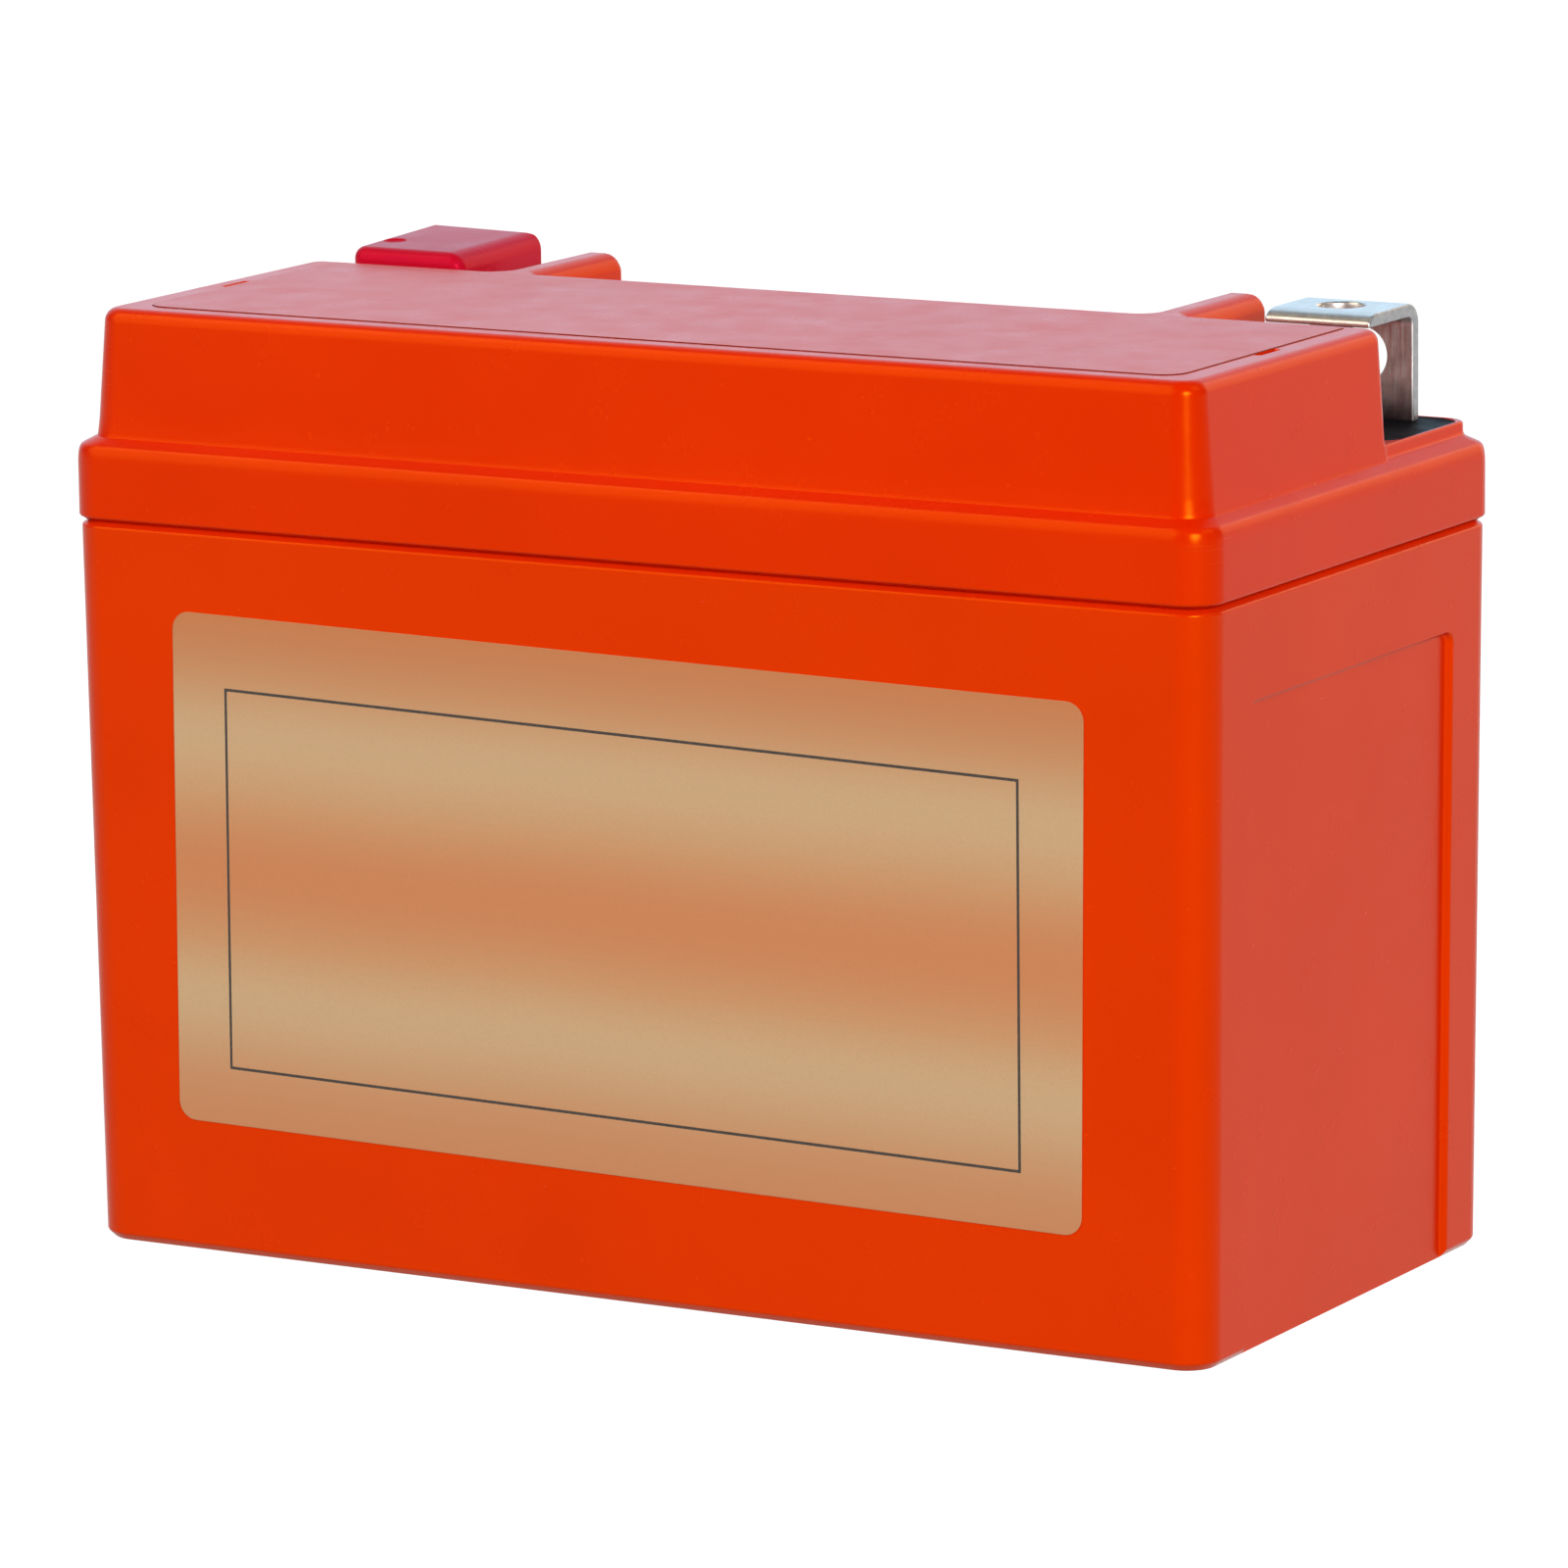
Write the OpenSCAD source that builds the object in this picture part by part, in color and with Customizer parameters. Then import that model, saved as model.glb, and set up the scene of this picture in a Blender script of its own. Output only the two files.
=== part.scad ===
// Sealed six-cell lead-acid motorcycle battery: drafted box, welded lid with a
// raised block, inlaid top plate, two bolt-on terminals in potted wells, a
// slip-on terminal cap, and the plate groups that fill the six cells.
// Millimetres. +X along the long side, +Y to the terminal side, +Z up.
// The origin is at the middle of the underside.

/* [Case] */
// Length over the lid flange
case_l = 175; // [173:0.5:178]
// Depth over the lid flange
case_d = 87; // [86:0.5:89]
// Height of the weld line between the box and the lid
weld_z = 100.8; // [99:0.1:102]
// Vertical corner radius
corner_r = 5; // [4.5:0.1:6]
// How far the box stands back from the lid flange at its top
box_inset = 0.25; // [0.1:0.05:0.7]
// Draft of the box over its height, each end
draft_x = 1; // [0.6:0.1:1.6]
// Draft of the box over its height, each long side
draft_y = 0.5; // [0.4:0.1:1]
// Chamfer round the underside
foot_chamfer = 1.1; // [0.6:0.1:1.6]
// Depth of the parting groove
groove_d = 1; // [0.6:0.1:1.3]
// Height of the parting groove at its mouth
groove_h = 1.2; // [0.8:0.1:1.6]

/* [End panels] */
// Front edge of the sunk panel in each end
panel_front = -30.6; // [-34:0.1:-24]
// Rear edge of the panel
panel_back = 30.3; // [24:0.1:34]
// Height of the panel's upper edge
panel_top = 86.9; // [70:0.1:90]
// Depth of the panel
panel_depth = 1; // [0.6:0.1:1.4]

/* [Cells] */
// Number of cells
cells = 6; // [6:1:6]
// Thickness of the partitions between cells
partition = 1.6; // [1.4:0.1:1.7]
// Half length of the space for the cells
inner_hl = 82.6; // [82.5:0.05:82.7]
// Half depth of the space for the cells
inner_hd = 39.6; // [39.4:0.1:39.8]
// Thickness of the floor
floor_t = 2.6; // [2.2:0.1:3]

/* [Plates] */
// Positive plates in a cell
pos_plates = 5; // [5:1:5]
// Thickness of a positive plate
pos_t = 2; // [1.8:0.05:2]
// Thickness of a negative plate
neg_t = 1.5; // [1.3:0.05:1.5]
// Thickness of a separator mat
sep_t = 0.68; // [0.6:0.02:0.68]
// Height of the plates without their lugs
plate_h = 78; // [74:1:79]
// Width of the plates
plate_w = 76; // [72:1:77]

/* [Lid] */
// Height of the sloping shoulder where it meets the raised block
shoulder_z = 112.3; // [112:0.1:112.6]
// Height of the block's top
block_z = 129.8; // [129.4:0.1:130.4]
// Back face of the block
block_back = 15.6; // [15.4:0.1:16]
// Inset of the block from the flange at its foot
block_in_foot = 2.2; // [2:0.1:2.5]
// Inset of the block from the flange at its top
block_in_top = 3.4; // [3.1:0.1:3.6]
// Height of the rear deck and the rims of the terminal wells
deck_z = 114.3; // [114.1:0.1:114.6]
// Inner side of each arm that flanks a terminal
arm_in = 47.5; // [46:0.5:48.5]
// Outer side of each arm
arm_out = 54.2; // [53:0.1:55]
// Rear end of the arms
arm_back = 40.9; // [38:0.1:41]

/* [Top plate] */
// Half length of the top plate
plate_hl = 79.1; // [78.5:0.1:79.4]
// Front edge of the top plate
plate_front = -35.6; // [-36:0.1:-35]
// Rear edge of the top plate
plate_back = 13.7; // [13.2:0.1:13.9]
// Thickness of the top plate
plate_t = 2.1; // [1.8:0.1:2.2]
// Gap round the top plate
plate_gap = 0.18; // [0.1:0.02:0.25]

/* [Terminals] */
// Distance of each terminal from the middle
term_x = 70.4; // [69.8:0.1:70.6]
// Width of a terminal
term_w = 15.7; // [15:0.1:15.8]
// Sheet thickness of a terminal
term_t = 1.8; // [1.6:0.1:2]
// Height of a terminal's top face
term_z = 130.3; // [130:0.1:130.6]
// Front edge of a terminal's top leg
term_front = 22.9; // [22.5:0.1:24]
// Rear face of a terminal
term_back = 38.2; // [37.8:0.1:38.4]
// Diameter of the bolt hole in the top leg
bolt_d = 6.6; // [6.2:0.1:6.8]
// Diameter of the hole in the rear leg
rear_d = 7.5; // [6.6:0.1:8]
// Place of the hole in the top leg
top_hole_y = 30.4; // [29.5:0.1:31]
// Height of the hole in the rear leg
rear_hole_z = 122.8; // [122.4:0.1:123.2]
// Diameter of the lead posts
post_d = 8; // [7.6:0.1:8]

/* [Cap] */
// Width of the terminal cap
cap_w = 18.3; // [17.6:0.1:18.4]
// Front face of the cap
cap_front = 17.9; // [17.6:0.1:18.6]
// Rear face of the cap
cap_back = 40.7; // [39.4:0.1:40.9]
// Height of the cap's top at the front
cap_z_front = 131.4; // [131.1:0.1:131.6]
// Height of the cap's top at the rear
cap_z_back = 132.3; // [132:0.1:132.8]
// Wall of the cap
cap_wall = 1; // [0.9:0.05:1]

/* [Label] */
// Length of the label
label_l = 140; // [120:1:142]
// Height of the label
label_h = 71; // [60:1:72]
// Middle of the label along the case
label_x = -1; // [-3:0.1:3]
// Height of the label's middle
label_z = 53.1; // [48:0.1:54]
// Thickness of the label
label_t = 0.15; // [0.1:0.05:0.2]
// How far the label sits askew, in degrees
label_turn = -0.75; // [-1:0.05:1]

/* [Hidden] */
$fn = 48;
hl = case_l/2;
hd = case_d/2;
eps = 0.01;
pitch = (2*inner_hl + partition)/cells;
cell_w = pitch - partition;
neg_plates = pos_plates + 1;
seps = 2*pos_plates;
stack_gap = 0.01;
stack_w = pos_plates*pos_t + neg_plates*neg_t + seps*sep_t + (2*seps)*stack_gap;
rest_h = 1;
plate_z = floor_t + rest_h;
plate_top = plate_z + plate_h;
lug_w = 10;
lug_y = 26;
strap_z = plate_top + 5;
strap_t = 5;
weld_hole_z = strap_z + strap_t + 3;
weld_d = 7;
edge_r = 1.9;
block_front_r = 4.5;
block_rear_r = 3;
deck_in = 2.8;
well_floor = 106.9;
well_in = 57;
well_out = 84.1;
well_front = 17.4;
well_back = 40.2;
well_r = 3.8;
potting_z = 114.1;
ring_s = 1.6;
post_y = 30.4;
foot_leg_z = 109.1;
gallery_floor = 120;
gallery_ceil = block_z - plate_t - 0.1;
seat_mid = (plate_front + plate_back)/2;
chimney_d = 8.8;
chimney_z = 125;
valve_d = 12;
cell_ceil = 117.4;
rear_ceil = 111.8;
well_ceil = 104.5;
cap_off = 0.2;
bend_r = 3;

function cell_x(i) = -inner_hl + cell_w/2 + i*pitch;
// Odd-numbered cells have their positive lugs at the rear, even-numbered ones at the front.
function pos_side(i) = i % 2 == 0 ? 1 : -1;

module rrect(l, d, r) {
    square([l - 2*r, d], center = true);
    square([l, d - 2*r], center = true);
    for (x = [-1, 1], y = [-1, 1])
        translate([x*(l/2 - r), y*(d/2 - r)]) circle(r = r);
}

// A body through rounded rectangles; each level is [z, inset in x, inset in y, corner radius].
corner_steps = 8;
function ring(v) = [for (k = [0:3], j = [0:corner_steps])
    let (a = 90*k + 90*j/corner_steps, sx = k == 0 || k == 3 ? 1 : -1, sy = k < 2 ? 1 : -1)
        [sx*(hl - v[1] - v[3]) + v[3]*cos(a), sy*(hd - v[2] - v[3]) + v[3]*sin(a), v[0]]];
// The same with its own front and back; each level is [z, half length, front, back, front radius, rear radius].
function rear_ring(v) = [for (k = [0:3], j = [0:corner_steps])
    let (a = 90*k + 90*j/corner_steps, sx = k == 0 || k == 3 ? 1 : -1, r = k < 2 ? v[5] : v[4])
        [sx*(v[1] - r) + r*cos(a), (k < 2 ? v[3] - r : v[2] + r) + r*sin(a), v[0]]];
module stack(levels) skin([for (v = levels) ring(v)]);
module skin(rings) {
    n = 4*(corner_steps + 1);
    m = len(rings);
    polyhedron(
        points = [for (v = rings) each v],
        faces = [
            [for (i = [0:n - 1]) i],
            [for (i = [n - 1:-1:0]) (m - 1)*n + i],
            for (k = [0:m - 2], i = [0:n - 1])
                [k*n + i, (k + 1)*n + i, (k + 1)*n + (i + 1) % n, k*n + (i + 1) % n]],
        convexity = 4);
}

module box_between(a, b) { translate(a) cube(b - a); }

// ---- box ----
module box_shell() difference() {
    stack([
        [0, box_inset + draft_x + foot_chamfer, box_inset + draft_y + foot_chamfer, corner_r - foot_chamfer],
        [foot_chamfer, box_inset + draft_x, box_inset + draft_y, corner_r],
        [weld_z - groove_h/2, box_inset, box_inset, corner_r],
        [weld_z, box_inset + groove_d, box_inset + groove_d, corner_r - groove_d]]);
    for (i = [0:cells - 1])
        box_between([cell_x(i) - cell_w/2, -inner_hd, floor_t], [cell_x(i) + cell_w/2, inner_hd, weld_z + 1]);
    // sunk panels that follow the draft of the ends
    for (s = [0, 1]) mirror([s, 0, 0])
        translate([0, (panel_front + panel_back)/2, 0]) rotate([90, 0, 0]) linear_extrude(height = panel_back - panel_front, center = true)
            polygon([
                [hl - box_inset - draft_x - panel_depth, -1],
                [hl - box_inset - draft_x*(1 - panel_top/weld_z) - panel_depth, panel_top],
                [hl + 5, panel_top], [hl + 5, -1]]);
    // holes for the welds between cells
    for (i = [0:cells - 2])
        translate([cell_x(i) + cell_w/2 - 1, -pos_side(i)*lug_y, weld_hole_z])
            rotate([0, 90, 0]) cylinder(d = weld_d + 0.2, h = partition + 2);
}
// low ribs on the floor of each cell that the plates stand on
module rest_ribs(i) {
    for (y = [-20, 20])
        box_between([cell_x(i) - cell_w/2 - 0.2, y - 1, floor_t - 0.2], [cell_x(i) + cell_w/2 + 0.2, y + 1, plate_z]);
}
module container() color([0.86, 0.19, 0.02]) union() {
    box_shell();
    for (i = [0:cells - 1]) rest_ribs(i);
}

// ---- lid ----
// rim that rises straight, rolls over and then slopes up to the block
module flange() stack([
    [weld_z, groove_d, groove_d, corner_r - groove_d],
    [weld_z + groove_h/2, 0, 0, corner_r],
    for (v = [[3.1, 0], [2.3, 0.08], [1.5, 0.27], [1, 0.63], [0.5, 1.25], [0, block_in_foot], [-0.4, 2.9]])
        [shoulder_z - v[0], v[1], v[1], corner_r - v[1]]]);

function block_level(z, d, cut) = rear_ring([z, hl - d, -hd + d, block_back - cut, block_front_r - cut, block_rear_r - cut]);
module block_form() skin([
    block_level(shoulder_z - 4, block_in_foot - 0.25, 0),
    block_level(block_z - edge_r, block_in_top - 0.1, 0),
    for (a = [30:30:90])
        block_level(block_z - edge_r*(1 - sin(a)), block_in_top + edge_r*(1 - cos(a)), edge_r*(1 - cos(a)))]);

module lid_form() {
    flange();
    block_form();
    translate([0, 0, shoulder_z - 4])
        linear_extrude(height = deck_z - shoulder_z + 4) intersection() {
            rrect(case_l - 2*deck_in, case_d - 2*deck_in, corner_r - 0.6);
            translate([-hl, block_back - 3]) square([case_l, hd]);
        }
    for (s = [-1, 1])
        translate([0, 0, deck_z - 2]) linear_extrude(height = block_z - deck_z + 2)
            translate([s*(arm_in + arm_out)/2, 0]) {
                translate([-(arm_out - arm_in)/2, block_back - 2]) square([arm_out - arm_in, arm_back - block_back]);
                translate([-(arm_out - arm_in)/2 + 2, block_back - 2]) square([arm_out - arm_in - 4, arm_back - block_back + 2]);
                for (k = [-1, 1]) translate([k*((arm_out - arm_in)/2 - 2), arm_back - 2]) circle(r = 2);
            }
}

module well_space(top) {
    for (s = [0, 1]) mirror([s, 0, 0])
        well_pocket(top);
}
module well_pocket(top) {
    translate([(well_in + well_out)/2, (well_front + well_back)/2, well_floor])
        linear_extrude(height = top - well_floor)
            rrect(well_out - well_in, well_back - well_front, well_r);
}

module lid() color([0.86, 0.19, 0.02]) difference() {
    union() {
        difference() {
            lid_form();
            // gas gallery under the top plate
            box_between([-plate_hl + 3, plate_front + 3, gallery_floor], [plate_hl - 3, plate_back - 2.6, block_z]);
        }
        for (i = [0:cells - 1])
            translate([cell_x(i), seat_mid, gallery_floor - 1]) cylinder(d = chimney_d, h = chimney_z - gallery_floor + 1);
    }
    // seat of the top plate
    translate([0, seat_mid, gallery_ceil])
        linear_extrude(height = 5)
            rrect(2*plate_hl + 2*plate_gap, plate_back - plate_front + 2*plate_gap, 3.5);
    // vent slots at both ends of the top plate
    for (s = [0, 1]) mirror([s, 0, 0])
        box_between([plate_hl - 4, seat_mid - 3, gallery_ceil - 1], [plate_hl + 1.1, seat_mid + 3, block_z + 1]);
    // head space over each cell
    for (i = [0:cells - 1]) {
        rear = i == 0 || i == cells - 1 ? well_ceil : rear_ceil;
        translate([cell_x(i), 0, 0]) rotate([90, 0, 90]) linear_extrude(height = cell_w, center = true)
            polygon([[-37.2, weld_z - 1], [37.2, weld_z - 1], [37.2, rear], [12.6, rear], [12.6, cell_ceil], [-37.2, cell_ceil]]);
        translate([cell_x(i), seat_mid, cell_ceil - 1]) cylinder(d = 5, h = 12);
    }
    well_space(deck_z + 1);
    for (s = [-1, 1]) translate([s*term_x, post_y, 0]) {
        translate([0, 0, well_ceil - 1]) cylinder(d = post_d + 0.3, h = 4);
        translate([0, 0, well_floor - ring_s]) cylinder(d = post_d + 2*ring_s + 0.4, h = ring_s + 1);
    }
}

module top_plate() color([0.86, 0.2, 0.04]) union() {
    translate([0, seat_mid, block_z - plate_t])
        linear_extrude(height = plate_t)
            rrect(2*plate_hl, plate_back - plate_front, 3.4);
    for (i = [0:cells - 1])
        translate([cell_x(i), seat_mid, block_z - plate_t - 0.5]) cylinder(d = 7, h = 1);
}

// A rubber cap that closes each cell's chimney and lifts its skirt when gas has to leave
module valve_cap(i) color([0.09, 0.09, 0.1])
    translate([cell_x(i), seat_mid, 0])
        rotate_extrude() polygon([
            [0, chimney_z + 0.15], [chimney_d/2 + 0.05, chimney_z + 0.15], [chimney_d/2 + 0.05, gallery_floor + 0.3],
            [valve_d/2, gallery_floor + 0.3], [valve_d/2, chimney_z + 1.2], [valve_d/2 - 0.6, chimney_z + 1.9], [0, chimney_z + 1.9]]);

// ---- label on the front ----
module label() color([0.78, 0.5, 0.31])
    translate([label_x, -hd + box_inset + draft_y*(1 - label_z/weld_z) - 0.02, label_z])
        rotate([90 + atan(draft_y/weld_z), 0, 0])
            linear_extrude(height = label_t) rotate(label_turn) rrect(label_l, label_h, 2.6);

// ---- terminals ----
// Side profile in the plane of depth and height: two legs forward from one rear leg,
// the upper one with a rolled-down front edge
module terminal_profile() intersection() {
    difference() {
        translate([term_back - 30, foot_leg_z]) c_end(30, term_z - foot_leg_z, bend_r);
        translate([term_back - 31 - term_t, foot_leg_z + term_t]) c_end(31, term_z - foot_leg_z - 2*term_t, bend_r - term_t);
    }
    translate([term_front, 0]) polygon([
        [0, foot_leg_z - 1], [20, foot_leg_z - 1], [20, term_z + 1], [2.5, term_z + 1],
        [2.5, term_z], [1.6, term_z - 0.1], [0.7, term_z - 0.5], [0.15, term_z - 1], [0, term_z - 1.4]]);
}
module c_end(l, h, r) {
    square([l - r, h]);
    translate([0, r]) square([l, h - 2*r]);
    for (z = [r, h - r]) translate([l - r, z]) circle(r = r);
}
module terminal(s) color([0.78, 0.77, 0.74]) translate([s*term_x, 0, 0]) difference() {
    rotate([90, 0, 90]) linear_extrude(height = term_w, center = true) terminal_profile();
    translate([0, top_hole_y, term_z - 4]) cylinder(d = bolt_d, h = 8);
    translate([0, term_back - 4, rear_hole_z]) rotate([-90, 0, 0]) cylinder(d = rear_d, h = 8);
    translate([0, post_y, foot_leg_z - 1]) cylinder(d = post_d + 0.1, h = 4);
}

// ---- potting in the terminal wells ----
module potting(s) difference() {
    mirror([s < 0 ? 1 : 0, 0, 0])
        translate([(well_in + well_out)/2, (well_front + well_back)/2, well_floor + 0.02])
            linear_extrude(height = potting_z - well_floor - 0.02)
                rrect(well_out - well_in - 0.04, well_back - well_front - 0.04, well_r);
    translate([s*term_x, 0, 0]) {
        // the terminal's foot and the post's head are cast in
        rotate([90, 0, 90]) linear_extrude(height = term_w + 0.02, center = true) intersection() {
            translate([term_front - 0.01, foot_leg_z - 0.01]) square([term_back - term_front + 0.02, 20]);
            difference() {
                translate([term_back - 30, foot_leg_z - 0.01]) c_end(30.01, term_z - foot_leg_z, bend_r);
                translate([term_back - 31 - term_t, foot_leg_z + term_t + 0.01]) c_end(30.99, term_z - foot_leg_z - 2*term_t, bend_r - term_t);
            }
        }
        translate([0, post_y, well_floor - 1]) cylinder(d = post_d + 0.1, h = foot_leg_z + term_t - well_floor + 1.02);
        translate([0, post_y, well_floor - 1]) cylinder(d = post_d + 2*ring_s + 0.4, h = 1.05);
    }
}
module negative_potting() color([0.06, 0.06, 0.07]) potting(1);
module positive_potting() color([0.6, 0.05, 0.07]) potting(-1);

module post_ring(s) color([0.1, 0.1, 0.1])
    translate([s*term_x, post_y, well_floor - ring_s/2 - 0.02])
        rotate_extrude() translate([post_d/2 + ring_s/2 + 0.05, 0]) circle(d = ring_s - 0.06);

// ---- slip-on cap over the positive terminal ----
module positive_cap() color([0.75, 0.05, 0.12]) translate([cap_off - term_x, 0, 0]) difference() {
    rotate([90, 0, 90]) linear_extrude(height = cap_w, center = true) polygon([
        [cap_front, deck_z + 0.12], [cap_back, deck_z + 0.12],
        [cap_back, cap_z_back], [cap_front, cap_z_front]]);
    box_between([-cap_w/2 + cap_wall, cap_front + cap_wall + 0.2, potting_z - 1], [cap_w/2 - cap_wall, cap_back - cap_wall - 0.2, term_z + 0.2]);
    translate([-6.15, cap_front + 7.4, cap_z_front - 0.1]) cylinder(d = 3.6, h = 3);
}

// ---- plate groups ----
// Left face of plate or mat number k in a cell: negative, mat, positive, mat, negative and so on
function stack_x(i, k) = cell_x(i) - stack_w/2
    + floor((k + 3)/4)*neg_t + floor((k + 1)/4)*pos_t + floor(k/2)*sep_t + k*stack_gap;

module plate(x, t, y) {
    box_between([x, -plate_w/2, plate_z], [x + t, plate_w/2, plate_top]);
    box_between([x, y - lug_w/2, plate_top - 0.5], [x + t, y + lug_w/2, strap_z]);
}
module positive_plates(i) color([0.32, 0.2, 0.14])
    for (k = [0:pos_plates - 1]) plate(stack_x(i, 4*k + 2), pos_t, pos_side(i)*lug_y);
module negative_plates(i) color([0.45, 0.46, 0.48])
    for (k = [0:neg_plates - 1]) plate(stack_x(i, 4*k), neg_t, -pos_side(i)*lug_y);
module separators(i) color([0.92, 0.92, 0.9])
    for (k = [0:seps - 1])
        box_between([stack_x(i, 2*k + 1), -inner_hd + 0.4, plate_z], [stack_x(i, 2*k + 1) + sep_t, inner_hd - 0.4, plate_top + 2]);

// ---- cast lead straps ----
module strap(i, y) box_between([cell_x(i) - stack_w/2, y - 6, strap_z + eps], [cell_x(i) + stack_w/2, y + 6, strap_z + strap_t]);
module upstand(x0, x1, y) {
    box_between([x0, y - 6, strap_z + strap_t - 0.5], [x1, y + 6, weld_hole_z]);
    translate([x0, y, weld_hole_z]) rotate([0, 90, 0]) cylinder(r = 6, h = x1 - x0, $fn = 64);
}
module intercell_link(i) color([0.5, 0.51, 0.54]) {
    y = -pos_side(i)*lug_y;
    a = cell_x(i) + cell_w/2;
    union() {
        strap(i, y);
        strap(i + 1, y);
        upstand(a - 3.2, a - 0.1, y);
        upstand(a + partition + 0.1, a + partition + 3.2, y);
        translate([a - 0.5, y, weld_hole_z]) rotate([0, 90, 0]) cylinder(d = weld_d, h = partition + 1);
    }
}
module end_strap(i, s) color([0.5, 0.51, 0.54]) union() {
    strap(i, lug_y);
    translate([s*term_x, post_y, strap_z + 1]) cylinder(d = post_d, h = foot_leg_z + term_t - strap_z - 1);
}

container();
lid();
top_plate();
label();
terminal(1);  // negative_terminal
terminal(-1);  // positive_terminal
positive_cap();
negative_potting();
positive_potting();
post_ring(1);  // negative_post_ring
post_ring(-1);  // positive_post_ring
end_strap(cells - 1, 1);  // negative_end_strap
end_strap(0, -1);  // positive_end_strap
intercell_link(0);  // intercell_link_1
intercell_link(1);  // intercell_link_2
intercell_link(2);  // intercell_link_3
intercell_link(3);  // intercell_link_4
intercell_link(4);  // intercell_link_5
valve_cap(0);  // valve_cap_1
valve_cap(1);  // valve_cap_2
valve_cap(2);  // valve_cap_3
valve_cap(3);  // valve_cap_4
valve_cap(4);  // valve_cap_5
valve_cap(5);  // valve_cap_6
positive_plates(0);  // cell_1_positive_plates
negative_plates(0);  // cell_1_negative_plates
separators(0);  // cell_1_separators
positive_plates(1);  // cell_2_positive_plates
negative_plates(1);  // cell_2_negative_plates
separators(1);  // cell_2_separators
positive_plates(2);  // cell_3_positive_plates
negative_plates(2);  // cell_3_negative_plates
separators(2);  // cell_3_separators
positive_plates(3);  // cell_4_positive_plates
negative_plates(3);  // cell_4_negative_plates
separators(3);  // cell_4_separators
positive_plates(4);  // cell_5_positive_plates
negative_plates(4);  // cell_5_negative_plates
separators(4);  // cell_5_separators
positive_plates(5);  // cell_6_positive_plates
negative_plates(5);  // cell_6_negative_plates
separators(5);  // cell_6_separators
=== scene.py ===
"""Looks of a sealed motorcycle battery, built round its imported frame.

Metres, +X along the long side, +Y to the terminal side, +Z up. Shapes below are
given in millimetres and scaled when their meshes are made.
"""

import math

import bmesh
import bpy
from mathutils import Matrix, Vector


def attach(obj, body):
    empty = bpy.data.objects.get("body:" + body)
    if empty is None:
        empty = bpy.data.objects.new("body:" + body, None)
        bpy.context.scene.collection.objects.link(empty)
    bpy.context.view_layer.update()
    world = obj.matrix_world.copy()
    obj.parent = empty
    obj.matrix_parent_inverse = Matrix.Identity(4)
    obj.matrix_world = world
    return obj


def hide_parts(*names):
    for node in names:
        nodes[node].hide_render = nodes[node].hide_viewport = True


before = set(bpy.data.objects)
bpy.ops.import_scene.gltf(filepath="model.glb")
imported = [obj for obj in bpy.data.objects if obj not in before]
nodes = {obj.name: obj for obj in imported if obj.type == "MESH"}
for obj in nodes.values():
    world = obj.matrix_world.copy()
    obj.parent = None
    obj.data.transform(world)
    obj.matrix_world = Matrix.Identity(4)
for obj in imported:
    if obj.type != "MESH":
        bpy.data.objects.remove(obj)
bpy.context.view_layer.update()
scene = bpy.context.scene
MM = 0.001

# ---------------------------------------------------------------- sizes (mm)
HL, HD = 87.5, 43.5  # half length and half depth over the flange
WELD_Z = 100.8
BLOCK_Z = 129.8
BLOCK_BACK = 15.6
DECK_Z = 114.3
BOX_IN, DRAFT_X, DRAFT_Y = 0.25, 1.0, 0.5
CORNER_R = 5.0
CELL_PITCH = (2 * 82.6 + 1.6) / 6
CELL_W = CELL_PITCH - 1.6
SEAT_MID = -10.95
TERM_X = 70.4
WELL = (57.0, 17.4, 84.1, 40.2)
WELL_R = 3.8


def cell_x(i):
    return -82.6 + CELL_W / 2 + i * CELL_PITCH


# ---------------------------------------------------------------- outlines
def fillet(corners, seg):
    """Points of a closed outline; each corner (x, y, r) becomes an arc of seg steps."""
    pts = []
    n = len(corners)
    for i, (x, y, r) in enumerate(corners):
        p = Vector((x, y))
        a = (Vector(corners[i - 1][:2]) - p).normalized()
        b = (Vector(corners[(i + 1) % n][:2]) - p).normalized()
        half = math.acos(max(-1.0, min(1.0, a.dot(b)))) / 2
        c = p + (a + b).normalized() * (r / math.sin(half))
        s = p + a * (r / math.tan(half))
        e = p + b * (r / math.tan(half))
        a0 = math.atan2(s.y - c.y, s.x - c.x)
        da = math.atan2(e.y - c.y, e.x - c.x) - a0
        da = (da + math.pi) % (2 * math.pi) - math.pi
        for k in range(seg + 1):
            t = a0 + da * k / seg
            pts.append((c.x + r * math.cos(t), c.y + r * math.sin(t)))
    return pts


def inset(corners, d, round_too=True):
    """The outline moved inwards, by one distance or one per edge; edge i runs from corner i."""
    n = len(corners)
    ds = list(d) if isinstance(d, (list, tuple)) else [d] * n
    out = []
    for i in range(n):
        x, y, r = corners[i]
        e0 = (Vector((x, y)) - Vector(corners[i - 1][:2])).normalized()
        e1 = (Vector(corners[(i + 1) % n][:2]) - Vector((x, y))).normalized()
        n0, n1 = Vector((-e0.y, e0.x)), Vector((-e1.y, e1.x))
        d0, d1 = ds[i - 1], ds[i]
        det = n0.x * n1.y - n0.y * n1.x
        qx = (d0 * n1.y - d1 * n0.y) / det
        qy = (n0.x * d1 - n1.x * d0) / det
        dr = (d0 + d1) / 2 if round_too else 0
        if e0.x * e1.y - e0.y * e1.x < 0:
            dr = -dr
        out.append((x + qx, y + qy, max(r - dr, 0.05)))
    return out


def rect(x0, y0, x1, y1, r):
    return [(x0, y0, r), (x1, y0, r), (x1, y1, r), (x0, y1, r)]


def circle(x, y, r, n=48):
    return [(x + r * math.cos(2 * math.pi * k / n), y + r * math.sin(2 * math.pi * k / n)) for k in range(n)]


def flat(outline, z):
    return [(x, y, z) for x, y in outline]


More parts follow.
